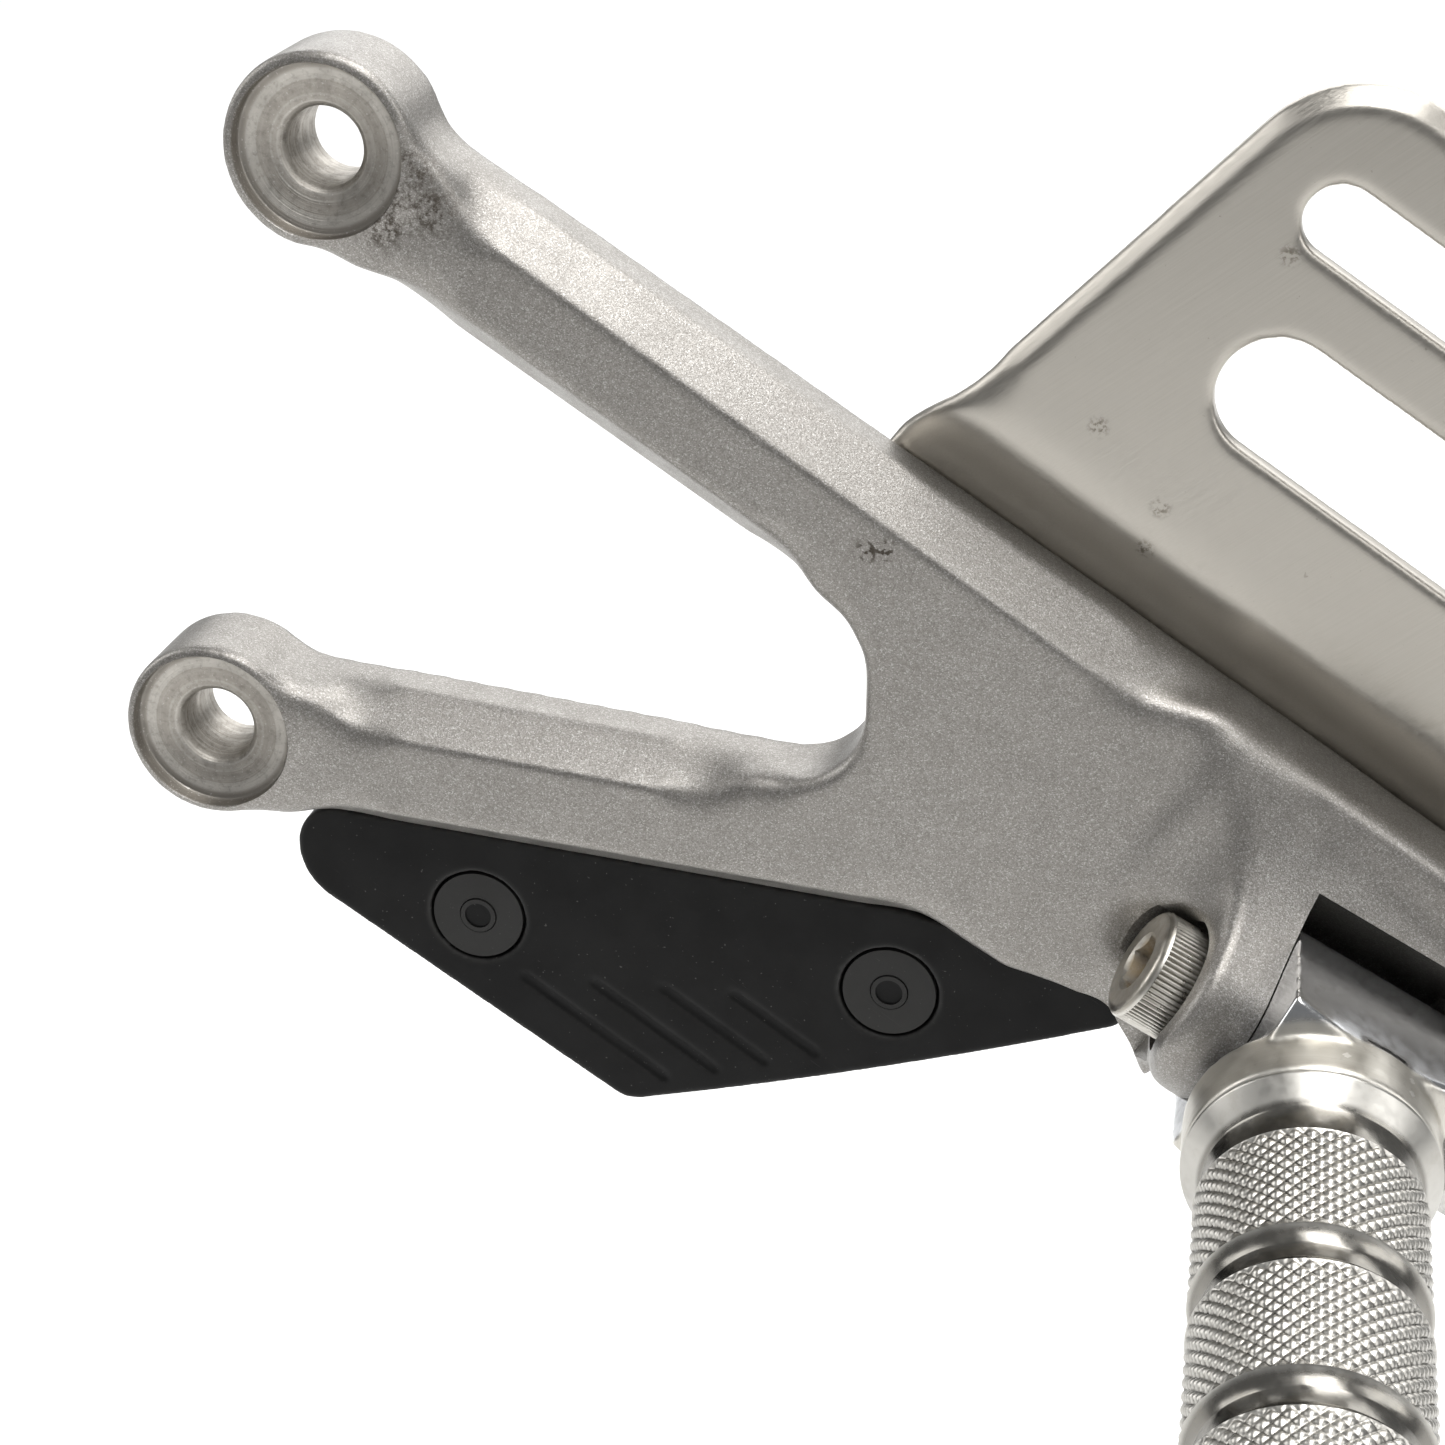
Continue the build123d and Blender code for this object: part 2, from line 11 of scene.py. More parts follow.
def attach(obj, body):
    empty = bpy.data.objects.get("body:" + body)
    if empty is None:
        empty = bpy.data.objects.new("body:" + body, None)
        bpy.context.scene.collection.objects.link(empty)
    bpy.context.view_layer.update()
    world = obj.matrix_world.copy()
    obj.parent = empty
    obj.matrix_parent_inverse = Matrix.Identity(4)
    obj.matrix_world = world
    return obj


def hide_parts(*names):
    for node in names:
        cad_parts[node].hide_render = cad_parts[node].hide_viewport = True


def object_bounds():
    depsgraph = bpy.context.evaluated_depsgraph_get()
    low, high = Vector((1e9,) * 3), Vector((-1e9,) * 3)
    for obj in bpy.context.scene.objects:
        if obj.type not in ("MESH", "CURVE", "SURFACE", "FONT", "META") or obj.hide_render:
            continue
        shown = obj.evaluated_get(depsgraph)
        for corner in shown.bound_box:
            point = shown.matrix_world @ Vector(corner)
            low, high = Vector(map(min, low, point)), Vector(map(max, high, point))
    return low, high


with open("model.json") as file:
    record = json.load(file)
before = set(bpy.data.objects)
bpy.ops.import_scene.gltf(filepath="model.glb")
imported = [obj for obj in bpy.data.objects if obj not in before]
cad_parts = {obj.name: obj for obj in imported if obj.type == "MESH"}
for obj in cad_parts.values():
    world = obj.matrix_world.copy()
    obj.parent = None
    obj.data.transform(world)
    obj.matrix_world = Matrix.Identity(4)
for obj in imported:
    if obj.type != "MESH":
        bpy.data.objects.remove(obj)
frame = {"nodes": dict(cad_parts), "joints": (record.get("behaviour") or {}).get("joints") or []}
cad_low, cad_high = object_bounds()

# Looks of the folding footrest. Lengths here are millimetres, turned into metres by MM.
MM = 0.001
TURN = 2 * math.pi

# The pivot's own frame: x outboard along the peg, y up, z along the bolt to its head.
JOINT = frame["joints"][0]
PIVOT_Z = Vector(JOINT["axis"]).normalized()
PEG_ROUGH = Vector((0.05, -1, -math.sin(math.radians(7.4))))
PIVOT_X = (PEG_ROUGH - PIVOT_Z * PEG_ROUGH.dot(PIVOT_Z)).normalized()
PIVOT_Y = PIVOT_Z.cross(PIVOT_X)
PIVOT_AT = Vector(JOINT["pos_m"])
PIVOT = Matrix.Translation(PIVOT_AT) @ Matrix((PIVOT_X, PIVOT_Y, PIVOT_Z)).transposed().to_4x4()

# How edges are rounded: share of the way to the neighbours' mean, and numbers of rounds
RELAX_SHARE = 0.5
BLEND_ROUNDS = 110
LAST_ROUNDS = 8

# Places and sizes on the casting
UPPER_BOSS = (0.0, 0.0)
LOWER_BOSS = (-17.4, -70.7)
BOSS_FRONT = 12.7
ARM_ANGLE = math.radians(-33.2)


# ---------------------------------------------------------------- meshes


def new_object(name, mesh):
    piece = bpy.data.objects.new(name, mesh)
    bpy.context.scene.collection.objects.link(piece)
    return piece


def mesh_from(name, points, faces, place=None):
    """A mesh from points in millimetres, moved by a matrix whose lengths are metres."""
    mesh = bpy.data.meshes.new(name)
    mesh.from_pydata([Vector(p) * MM for p in points], [], faces)
    if place is not None:
        mesh.transform(place)
    mesh.validate()
    return mesh


def prism(outline, low, high, place=None):
    """A closed prism on an (x, y) outline between two heights."""
    count = len(outline)
    points = [(x, y, z) for z in (low, high) for x, y in outline]
    faces = [tuple(reversed(range(count))), tuple(range(count, 2 * count))]
    for i in range(count):
        j = (i + 1) % count
        faces.append((i, j, count + j, count + i))
    return mesh_from("prism", points, faces, place)


def turned(profile, segments, shape=None):
    """A closed solid turned about z from (radius, z) points; shape may move each ring's points."""
    angles = [TURN * i / segments for i in range(segments)]
    points = []
    faces = []
    for radius, z in profile:
        for angle in angles:
            r = radius if shape is None else shape(radius, z, angle)
            points.append((r * math.cos(angle), r * math.sin(angle), z))
    for ring in range(len(profile) - 1):
        for i in range(segments):
            j = (i + 1) % segments
            a = ring * segments
            faces.append((a + i, a + j, a + segments + j, a + segments + i))
    return points, faces


def capped(profile, segments, place=None, shape=None):
    """A turned solid with flat ends."""
    points, faces = turned(profile, segments, shape)
    last = (len(profile) - 1) * segments
    faces.append(tuple(reversed(range(segments))))
    faces.append(tuple(range(last, last + segments)))
    return mesh_from("capped", points, faces, place)


def drum(radius, low, high, place):
    return capped([(radius, low), (radius, high)], 96, place)


def facing_out(place):
    """A frame at a plan place whose z points outboard."""
    return Matrix.Translation(Vector((place[0], 0, place[1])) * MM) @ Matrix.Rotation(math.pi / 2, 4, "X")


def joined(name, meshes):
    """One mesh with the faces of several."""
    work = bmesh.new()
    for mesh in meshes:
        work.from_mesh(mesh)
    bmesh.ops.recalc_face_normals(work, faces=work.faces)
    result = bpy.data.meshes.new(name)
    work.to_mesh(result)
    work.free()
    return result


def with_modifier(mesh, kind, **settings):
    """The mesh as one modifier leaves it."""
    holder = new_object("holder", mesh)
    modifier = holder.modifiers.new("m", kind)
    for key, value in settings.items():
        setattr(modifier, key, value)
    bpy.context.view_layer.update()
    graph = bpy.context.evaluated_depsgraph_get()
    result = bpy.data.meshes.new_from_object(holder.evaluated_get(graph))
    bpy.data.objects.remove(holder)
    return result


def cut(mesh, cutters):
    """The mesh less every cutter."""
    tool = new_object("tool", joined("tool", cutters))
    result = with_modifier(mesh, "BOOLEAN", operation="DIFFERENCE", solver="MANIFOLD", object=tool)
    bpy.data.objects.remove(tool)
    return result


def coords(mesh):
    co = np.empty(len(mesh.vertices) * 3, np.float32)
    mesh.vertices.foreach_get("co", co)
    return co.reshape(-1, 3).astype(float)


def relaxed(co, edges, weight, rounds):
    """Points moved towards the mean of their neighbours."""
    count = len(co)
    a = edges[:, 0]
    b = edges[:, 1]
    degree = np.bincount(a, minlength=count) + np.bincount(b, minlength=count)
    share = (weight / np.maximum(degree, 1))[:, None]
    for _ in range(rounds):
        sums = [np.bincount(a, co[b, k], count) + np.bincount(b, co[a, k], count) for k in range(3)]
        co = co + share * np.stack(sums, 1) - weight[:, None] * co
    return co


def snapped(co, tree, reach, free):
    """Points near the true surface put back on it, so that flat faces stay flat."""
    result = co.copy()
    for i, point in enumerate(co):
        near, _, _, distance = tree.find_nearest(point)
        share = min(max(2 - distance / reach, 0), 1) * (1 - free[i])
        if share > 0:
            result[i] += share * (np.array(near) - point)
    return result


def softened(node, voxel, rounds, reach, plugs=(), wide=None):
    """A node's shape with its edges rounded, as casting, moulding or handling leaves them."""
    source = joined("source", [frame["nodes"][node].data, *plugs])
    mesh = with_modifier(source, "REMESH", mode="VOXEL", voxel_size=voxel * MM, adaptivity=0)
    edges = np.empty(len(mesh.edges) * 2, np.int32)
    mesh.edges.foreach_get("vertices", edges)
    edges = edges.reshape(-1, 2)
    co = coords(mesh)
    evenly = np.full(len(co), RELAX_SHARE)
    co = relaxed(co, edges, evenly, rounds)
    free = np.zeros(len(co)) if wide is None else wide(co)
    if wide is not None:
        co = relaxed(co, edges, RELAX_SHARE * free, BLEND_ROUNDS)
    work = bmesh.new()
    work.from_mesh(source)
    bmesh.ops.triangulate(work, faces=work.faces)
    tree = BVHTree.FromBMesh(work)
    work.free()
    co = snapped(co, tree, reach * MM, free)
    co = relaxed(co, edges, evenly, LAST_ROUNDS)
    mesh.vertices.foreach_set("co", co.astype(np.float32).ravel())
    mesh.update()
    return mesh


def shade(mesh, angle=None):
    """Smooth shading, with edges sharper than an angle in degrees kept sharp."""
    mesh.shade_smooth()
    if angle is not None:
        mesh.set_sharp_from_angle(angle=math.radians(angle))
    return mesh


# ---------------------------------------------------------------- materials


class Finish:
    """A material built node by node. Its textures take places in millimetres."""

    def __init__(self, name, color, metallic, roughness):
        self.material = bpy.data.materials.new(name)
        self.material.use_nodes = True
        self.tree = self.material.node_tree
        self.shader = self.tree.nodes["Principled BSDF"]
        self.shader.inputs["Metallic"].default_value = metallic
        self.shader.inputs["Base Color"].default_value = (*color, 1)
        self.shader.inputs["Roughness"].default_value = roughness
        self.place = self.vector("SCALE", self.add("TexCoord").outputs["Object"], scale=1000)

    def add(self, kind, settings=None, **inputs):
        node = self.tree.nodes.new("ShaderNode" + kind)
        for key, value in (settings or {}).items():
            setattr(node, key, value)
        for key, value in inputs.items():
            self.feed(node.inputs[key.replace("_", " ")], value)
        return node

    def feed(self, socket, value):
        if isinstance(value, bpy.types.NodeSocket):
            self.tree.links.new(value, socket)
        else:
            socket.default_value = value

    def vector(self, operation, first, second=None, scale=None):
        node = self.add("VectorMath", {"operation": operation})
        self.feed(node.inputs[0], first)
        if second is not None:
            self.feed(node.inputs[1], second)
        if scale is not None:
            node.inputs["Scale"].default_value = scale
        scalar = operation in ("DOT_PRODUCT", "LENGTH", "DISTANCE")
        return node.outputs["Value" if scalar else "Vector"]

    def math(self, operation, first, second=0.0, clamp=False):
        node = self.add("Math", {"operation": operation, "use_clamp": clamp})
        self.feed(node.inputs[0], first)
        self.feed(node.inputs[1], second)
        return node.outputs[0]

    def noise(self, size, detail=2.0, place=None, rough=0.5):
        node = self.add("TexNoise", Scale=1 / size, Detail=detail, Roughness=rough)
        self.feed(node.inputs["Vector"], place or self.place)
        return node.outputs["Fac"]

    def cells(self, size, place=None):
        """A random grey for each small cell."""
        node = self.add("TexVoronoi", {"feature": "F1"}, Scale=1 / size)
        self.feed(node.inputs["Vector"], place or self.place)
        parts = self.add("SeparateColor", Color=node.outputs["Color"])
        return parts.outputs[0]

    def ramp(self, value, low, high, to_low=0.0, to_high=1.0):
        """A value's range moved smoothly to another."""
        node = self.add("MapRange", {"interpolation_type": "SMOOTHSTEP"}, Value=value)
        node.inputs["From Min"].default_value = low
        node.inputs["From Max"].default_value = high
        node.inputs["To Min"].default_value = to_low
        node.inputs["To Max"].default_value = to_high
        return node.outputs["Result"]

    def mix(self, share, first, second, blend="MIX"):
        node = self.add("Mix", {"data_type": "RGBA", "blend_type": blend})
        self.feed(node.inputs["Factor"], share)
        for socket, value in ((node.inputs["A"], first), (node.inputs["B"], second)):
            colour = value if isinstance(value, bpy.types.NodeSocket) else (*value, 1)
            self.feed(self.colour_socket(node, socket.name), colour)
        return [o for o in node.outputs if o.type == "RGBA"][0]

    @staticmethod
    def colour_socket(node, name):
        return [s for s in node.inputs if s.name == name and s.type == "RGBA"][0]

    def stretched(self, direction, along, across):
        """Places drawn out along a direction, for brush lines: size along and across it."""
        way = Vector(direction).normalized()
        turn = way.to_track_quat("X", "Z").inverted().to_euler()
        spun = self.add("Mapping", {"vector_type": "POINT"}, Vector=self.place)
        spun.inputs["Rotation"].default_value = turn
        squeezed = self.add("Mapping", {"vector_type": "POINT"}, Vector=spun.outputs[0])
        squeezed.inputs["Scale"].default_value = (1 / along, 1 / across, 1 / across)
        return squeezed.outputs[0]

    def round_axis(self, origin, direction):
        """Distance from an axis, and distance along it, in millimetres."""
        way = Vector(direction).normalized()
        start = tuple(Vector(origin) / MM)
        offset = self.vector("SUBTRACT", self.place, start)
        radius = self.vector("LENGTH", self.vector("CROSS_PRODUCT", offset, tuple(way)))
        along = self.vector("DOT_PRODUCT", offset, tuple(way))
        return radius, along

    def rings(self, radius, along, size, detail=3.0):
        """Tool marks of turning: noise that changes only with radius and depth."""
        pair = self.add("CombineXYZ", X=radius, Y=along)
        return self.noise(size, detail, pair.outputs[0])

    def near(self, places, reach):
        """1 near any of some points, 0 beyond reach."""
        total = None
        for place in places:
            distance = self.vector("DISTANCE", self.place, place)
            spot = self.ramp(distance, reach * 0.2, reach, 1.0, 0.0)
            total = spot if total is None else self.math("MAXIMUM", total, spot)
        return total

    def bump(self, height, strength, depth, previous=None):
        node = self.add("Bump", Height=height)
        node.inputs["Strength"].default_value = strength
        node.inputs["Distance"].default_value = depth * MM
        if previous is not None:
            self.tree.links.new(previous, node.inputs["Normal"])
        return node.outputs["Normal"]

    def edges(self, low=0.51, high=0.56):
        """1 on convex edges: worn edges, and on the black pad and its rivets a painted highlight."""
        return self.ramp(self.add("NewGeometry").outputs["Pointiness"], low, high)

    def set(self, **inputs):
        for key, value in inputs.items():
            self.feed(self.shader.inputs[key.replace("_", " ")], value)
        return self


def silver_casting():
    """Silver paint full of fine flakes over a sand-smooth casting."""
    f = Finish("silver_casting", (0.3, 0.28, 0.26), 0.9, 0.42)
    flakes = f.cells(0.13)
    grain = f.noise(0.26, 3, rough=0.65)
    cloud = f.noise(14, 3)
    color = f.mix(flakes, (0.2, 0.188, 0.172), (0.38, 0.366, 0.345))
    color = f.mix(f.math("MULTIPLY", cloud, 0.45), color, (0.24, 0.225, 0.205))
    # painted glints: the brightest flake cells are lightened to look like sparkle
    flake_glint = f.ramp(flakes, 0.86, 0.97)
    color = f.mix(f.math("MULTIPLY", flake_glint, 0.35), color, (0.62, 0.61, 0.59))
    dirt_places = [(8.7, -12, -4.3), (7.4, -12, -7.7), (10.6, -12.3, -1.6), (12.4, -12, -6.0)]
    neck_places = [(14.5, -9, 1.5), (16.3, -8, 0.1)]
    dirt = f.math("MULTIPLY", f.near(dirt_places, 4.6), f.ramp(f.noise(1.0, 5, rough=0.75), 0.42, 0.62))
    neck = f.math("MULTIPLY", f.near(neck_places, 2.2), f.ramp(f.noise(0.7, 4, rough=0.75), 0.5, 0.64))
    dirt = f.math("MAXIMUM", dirt, neck)
    smudge_places = [(61.4, -12, -41.3), (63.2, -12, -41.1)]
    smudge = f.math("MULTIPLY", f.near(smudge_places, 2.2), f.ramp(f.noise(0.8, 3), 0.5, 0.6))
    stain = f.math("MAXIMUM", dirt, smudge)
    color = f.mix(f.math("MULTIPLY", stain, 0.85), color, (0.07, 0.056, 0.042))
    dust = f.ramp(f.noise(0.5, 1), 0.8, 0.84)
    color = f.mix(f.math("MULTIPLY", dust, 0.3), color, (0.5, 0.48, 0.45))
    rough = f.ramp(f.noise(4, 3), 0.3, 0.7, 0.36, 0.46)
    rough = f.math("ADD", rough, f.math("MULTIPLY", stain, 0.35))
    normal = f.bump(grain, 0.7, 0.05)
    normal = f.bump(flakes, 0.36, 0.03, normal)
    normal = f.bump(f.noise(3.2, 2), 0.25, 0.06, normal)
    return f.set(Base_Color=color, Roughness=rough, Normal=normal).material


def machined_seat(name, places):
    """Bare metal of a faced boss, with the cutter's rings."""
    f = Finish(name, (0.5, 0.48, 0.45), 1.0, 0.4)
    radius, along = f.round_axis((places[0] * MM, 0, places[1] * MM), (0, -1, 0))
    rings = f.rings(radius, along, 0.22)
    broad = f.rings(radius, along, 0.9, 2)
    color = f.mix(f.ramp(broad, 0.35, 0.65), (0.33, 0.305, 0.27), (0.5, 0.475, 0.435))
    color = f.mix(f.math("MULTIPLY", rings, 0.4), color, (0.52, 0.5, 0.465))
    darkening = f.math("MULTIPLY", f.ramp(f.noise(0.8, 5, rough=0.75), 0.45, 0.7), 0.4)
    # painted shade: the seat floor darkens towards the recess wall; darkening also holds the noise grime
    # specks
    rim = f.ramp(radius, 8.4, 9.7)
    darkening = f.math("MAXIMUM", darkening, f.math("MULTIPLY", rim, 0.65))
    color = f.mix(darkening, color, (0.15, 0.135, 0.115))
    wear = f.ramp(f.noise(0.35, 3), 0.62, 0.7)
    color = f.mix(f.math("MULTIPLY", wear, 0.4), color, (0.7, 0.68, 0.65))
    rough = f.ramp(f.noise(2, 3), 0.3, 0.7, 0.45, 0.6)
    normal = f.bump(rings, 0.6, 0.08)
    normal = f.bump(f.noise(0.3, 3), 0.35, 0.03, normal)
    return f.set(Base_Color=color, Roughness=rough, Normal=normal).material


def brushed_sheet():
    """Brushed aluminium, its lines across the arm, with handling marks."""
    f = Finish("brushed_sheet", (0.5, 0.47, 0.42), 1.0, 0.34)
    way = (math.cos(math.radians(38)), 0, math.sin(math.radians(38)))
    lines = f.noise(1, 3, f.stretched(way, 9, 0.16), 0.6)
    broad = f.noise(1, 2, f.stretched(way, 22, 2.2))
    color = f.mix(lines, (0.36, 0.335, 0.295), (0.5, 0.475, 0.43))
    color = f.mix(f.math("MULTIPLY", broad, 0.35), color, (0.44, 0.42, 0.385))
    mark_places = [(104.4, -5, -7.2), (85.4, -5, -27.4), (92.6, -5, -36.2), (91.1, -4, -41.4)]
    marks = f.math("MULTIPLY", f.near(mark_places, 1.7), f.ramp(f.noise(0.7, 4, rough=0.7), 0.45, 0.6))
    specks = f.math("MULTIPLY", f.ramp(f.noise(0.9, 2), 0.74, 0.8), 0.5)
    color = f.mix(f.math("MAXIMUM", marks, specks), color, (0.2, 0.18, 0.15))
    rough = f.ramp(lines, 0.3, 0.7, 0.28, 0.42)
    normal = f.bump(lines, 0.3, 0.03)
    normal = f.bump(f.noise(6, 2), 0.08, 0.15, normal)
    f.shader.inputs["Anisotropic"].default_value = 0.4
    return f.set(Base_Color=color, Roughness=rough, Normal=normal).material


def black_pad():
    """Moulded black plastic: fine texture, dust in it and pale scuffs."""
    f = Finish("black_pad", (0.012, 0.012, 0.012), 0.0, 0.42)
    texture = f.noise(0.3, 3, rough=0.6)
    cloud = f.noise(9, 4)
    color = f.mix(cloud, (0.004, 0.004, 0.0042), (0.009, 0.0088, 0.0084))
    scratch = f.noise(1, 2, f.stretched((0.8, 0, -0.55), 7, 0.12))
    scratch = f.math("MULTIPLY", f.ramp(scratch, 0.7, 0.76), f.ramp(f.noise(11, 2), 0.5, 0.62))
    color = f.mix(f.math("MULTIPLY", scratch, 0.5), color, (0.075, 0.073, 0.07))
    dust = f.ramp(f.noise(0.42, 1), 0.74, 0.8)
    color = f.mix(f.math("MULTIPLY", dust, 0.5), color, (0.11, 0.105, 0.1))
    # painted highlight: convex edges of the pad and its rivet pins are lightened
    color = f.mix(f.math("MULTIPLY", f.edges(0.5, 0.54), 0.6), color, (0.05, 0.049, 0.047))
    rough = f.ramp(f.noise(5, 3), 0.3, 0.7, 0.4, 0.55)
    f.shader.inputs["Specular IOR Level"].default_value = 0.15
    normal = f.bump(texture, 0.3, 0.03)
    normal = f.bump(f.noise(2.4, 2), 0.12, 0.06, normal)
    return f.set(Base_Color=color, Roughness=rough, Normal=normal).material


def plain_metal(name, dark, light, rough_low, rough_high, darkening=0.3, grain=0.35):
    """Plated or turned small hardware with stains in noisy patches."""
    f = Finish(name, light, 1.0, rough_low)
    color = f.mix(f.noise(1.8, 4, rough=0.65), dark, light)
    stain = f.math("MULTIPLY", f.ramp(f.noise(2.6, 4, rough=0.7), 0.5, 0.72), darkening)
    color = f.mix(stain, color, (0.16, 0.13, 0.09))
    color = f.mix(f.math("MULTIPLY", f.edges(), 0.5), color, (0.75, 0.73, 0.7))
    rough = f.ramp(f.noise(1.2, 3), 0.3, 0.7, rough_low, rough_high)
    normal = f.bump(f.noise(grain, 3), 0.25, 0.02)
    return f.set(Base_Color=color, Roughness=rough, Normal=normal).material


def bolt_metal():
    """Tarnished plating: silver flutes with painted shade in their valleys, straw coloured dirt in the
    socket and round the rim.
    """
    f = Finish("bolt_metal", (0.55, 0.53, 0.48), 1.0, 0.3)
    radius, along = f.round_axis(PIVOT_AT, PIVOT_Z)
    color = f.mix(f.noise(1.4, 4, rough=0.65), (0.46, 0.44, 0.39), (0.7, 0.68, 0.64))
    inside = f.math("MULTIPLY", f.ramp(radius, 2.9, 3.6, 1, 0), f.ramp(along, 18, 19))
    rim = f.math("MULTIPLY", f.ramp(along, 22.6, 24.6), 0.6)
    straw = f.math("MAXIMUM", f.math("MULTIPLY", inside, 0.85), rim)
    patch = f.math("MULTIPLY", straw, f.ramp(f.noise(1.5, 4, rough=0.7), 0.25, 0.6))
    color = f.mix(patch, color, (0.4, 0.31, 0.19))
    # painted shade: the flute valleys are darkened
    flutes = f.math("MULTIPLY", f.ramp(radius, 6.38, 6.58, 1, 0), f.ramp(radius, 6.05, 6.2))
    color = f.mix(f.math("MULTIPLY", flutes, 0.55), color, (0.2, 0.18, 0.145))
    rough = f.math("ADD", f.ramp(f.noise(1.1, 3), 0.3, 0.7, 0.26, 0.42), f.math("MULTIPLY", patch, 0.25))
    normal = f.bump(f.noise(0.3, 3), 0.3, 0.03)
    return f.set(Base_Color=color, Roughness=rough, Normal=normal).material


def knuckle_metal():
    """Polished forged faces with hairlines, a matt beige turned collar and bright worn edges."""
    f = Finish("knuckle_metal", (0.6, 0.6, 0.6), 1.0, 0.2)
    radius, along = f.round_axis(PIVOT_AT, PIVOT_X)
    collar = f.ramp(along, 12.6, 13.4)
    hairs = f.noise(1, 3, f.stretched(PIVOT_Y, 8, 0.1), 0.6)
    polished = f.mix(hairs, (0.42, 0.43, 0.45), (0.58, 0.585, 0.59))
    rings = f.rings(radius, along, 0.16)
    beige = f.mix(rings, (0.5, 0.475, 0.42), (0.62, 0.6, 0.55))
    color = f.mix(collar, polished, beige)
    color = f.mix(f.math("MULTIPLY", f.edges(), 0.7), color, (0.82, 0.8, 0.76))
    stain = f.math("MULTIPLY", f.ramp(f.noise(2.2, 4, rough=0.7), 0.55, 0.75), 0.3)
    color = f.mix(stain, color, (0.22, 0.2, 0.16))
    rough = f.math("ADD", f.ramp(collar, 0, 1, 0.13, 0.33), f.ramp(f.noise(1.6, 3), 0.3, 0.7, 0, 0.1))
    normal = f.bump(hairs, 0.08, 0.02)
    normal = f.bump(f.math("MULTIPLY", rings, collar), 0.25, 0.03, normal)
    return f.set(Base_Color=color, Roughness=rough, Normal=normal).material


def sleeve_metal():
    """Machined aluminium: bright worn knurl tips, with the valleys and polished grooves darkened as
    painted shade.
    """
    f = Finish("sleeve_metal", (0.62, 0.6, 0.56), 1.0, 0.25)
    radius, along = f.round_axis(PIVOT_AT, PIVOT_X)
    height = f.ramp(radius, 11.85, 12.35)
    rings = f.rings(radius, along, 0.14)
    # painted shade and wear: darker where the radius is small, in the knurl valleys and grooves; lighter
    # on the worn knurl tips
    color = f.mix(height, (0.2, 0.19, 0.17), (0.5, 0.485, 0.45))
    color = f.mix(f.math("MULTIPLY", rings, 0.25), color, (0.42, 0.41, 0.385))
    stain = f.math("MULTIPLY", f.ramp(f.noise(2.5, 4, rough=0.7), 0.5, 0.75), 0.25)
    color = f.mix(stain, color, (0.3, 0.27, 0.22))
    rough = f.math("ADD", f.ramp(radius, 11.7, 12.3, 0.17, 0.3), f.ramp(f.noise(1.2, 3), 0.3, 0.7, 0, 0.1))
    normal = f.bump(rings, 0.12, 0.02)
    normal = f.bump(f.noise(0.35, 2), 0.12, 0.02, normal)
    return f.set(Base_Color=color, Roughness=rough, Normal=normal).material


def floor_finish():
    f = Finish("floor_finish", (0.9, 0.9, 0.895), 0.0, 0.6)
    color = f.mix(f.noise(60, 3), (0.9, 0.9, 0.895), (0.92, 0.92, 0.915))
    return f.set(Base_Color=color).material


def dress(piece, *materials):
    piece.data.materials.clear()
    for material in materials:
        piece.data.materials.append(material)


SILVER = silver_casting()
SHEET = brushed_sheet()
PAD = black_pad()
BOLT = bolt_metal()
KNUCKLE = knuckle_metal()
SLEEVE = sleeve_metal()
PLATED = plain_metal("plated_steel", (0.3, 0.295, 0.28), (0.52, 0.51, 0.49), 0.26, 0.42)
GROUND = plain_metal("ground_steel", (0.42, 0.42, 0.42), (0.6, 0.6, 0.6), 0.16, 0.28, 0.15)
BRONZE = plain_metal("oiled_bronze", (0.36, 0.22, 0.1), (0.56, 0.38, 0.2), 0.25, 0.4)
DRAWN = plain_metal("drawn_wire", (0.1, 0.1, 0.105), (0.22, 0.22, 0.225), 0.3, 0.45)


# ---------------------------------------------------------------- bracket casting


EAR_R = 11.0
EAR_CHORDS = 32
LOWER_HEEL = [(19.3, 2), (14.6, 12), (30, 12), (30, 2)]
LIP = [(15.2, 9.5), (14.4, 12), (14.4, 19), (30, 19), (30, 9.5)]


def ear_outline():
    """The clevis ear's side view, arcs in short chords."""
    points = [(-12, -10.8)]
    for step in range(EAR_CHORDS + 1):
        angle = math.radians(-80 + 128 * step / EAR_CHORDS)
        points.append((EAR_R * math.cos(angle), EAR_R * math.sin(angle)))
    points += [(3.2, 11.4), (-1.2, 15.4), (-5.2, 20.5), (-8.4, 26), (-12, 26)]
    return points


def fold_slot():
    return [(-11.3, -45), (60, -45), (60, 49.3), (28.7, 49.3), (-11.9, 8.7), (-11.9, -0.5), (-11.3, -0.5)]


def boss_cutter(place):
    """Faced recess, chamfer and bore of a frame bolt boss."""
    profile = [(4.5, -2), (4.5, 9.65), (5.35, 10.5), (9.5, 10.5), (9.7, 10.7)]
    profile += [(9.7, 12.45), (10.0, 12.8), (10.0, 15)]
    return capped(profile, 160, facing_out(place))


def on_arm(along, above):
    """A plan place from its distance along the upper arm's centre line and above it."""
    c = math.cos(ARM_ANGLE)
    s = math.sin(ARM_ANGLE)
    return along * c - above * s, along * s + above * c


BEVEL_ENDS = [on_arm(16, 3.6), on_arm(13, 6.5), on_arm(108, 3.6), on_arm(113, 6.5)]
BEVEL_ENDS += [on_arm(16, -6.9), on_arm(10, -9.8), on_arm(68, -7.0), on_arm(72, -9.6)]
BEVEL_ENDS += [(-1.0, -68.6), (-4.5, -66.0), (43.5, -72.5), (48.0, -70.5)]
BEVEL_ENDS += [(-3.0, -79.8), (-8.5, -82.4), (67.5, -85.6), (73.0, -88.5)]
CLEVIS_CORNER = on_arm(120, 6.5)


def faded(distance, inner, outer):
    """1 within an inner distance, 0 beyond an outer one."""
    share = np.clip((outer - distance) / (outer - inner), 0, 1)
    return share * share * (3 - 2 * share)


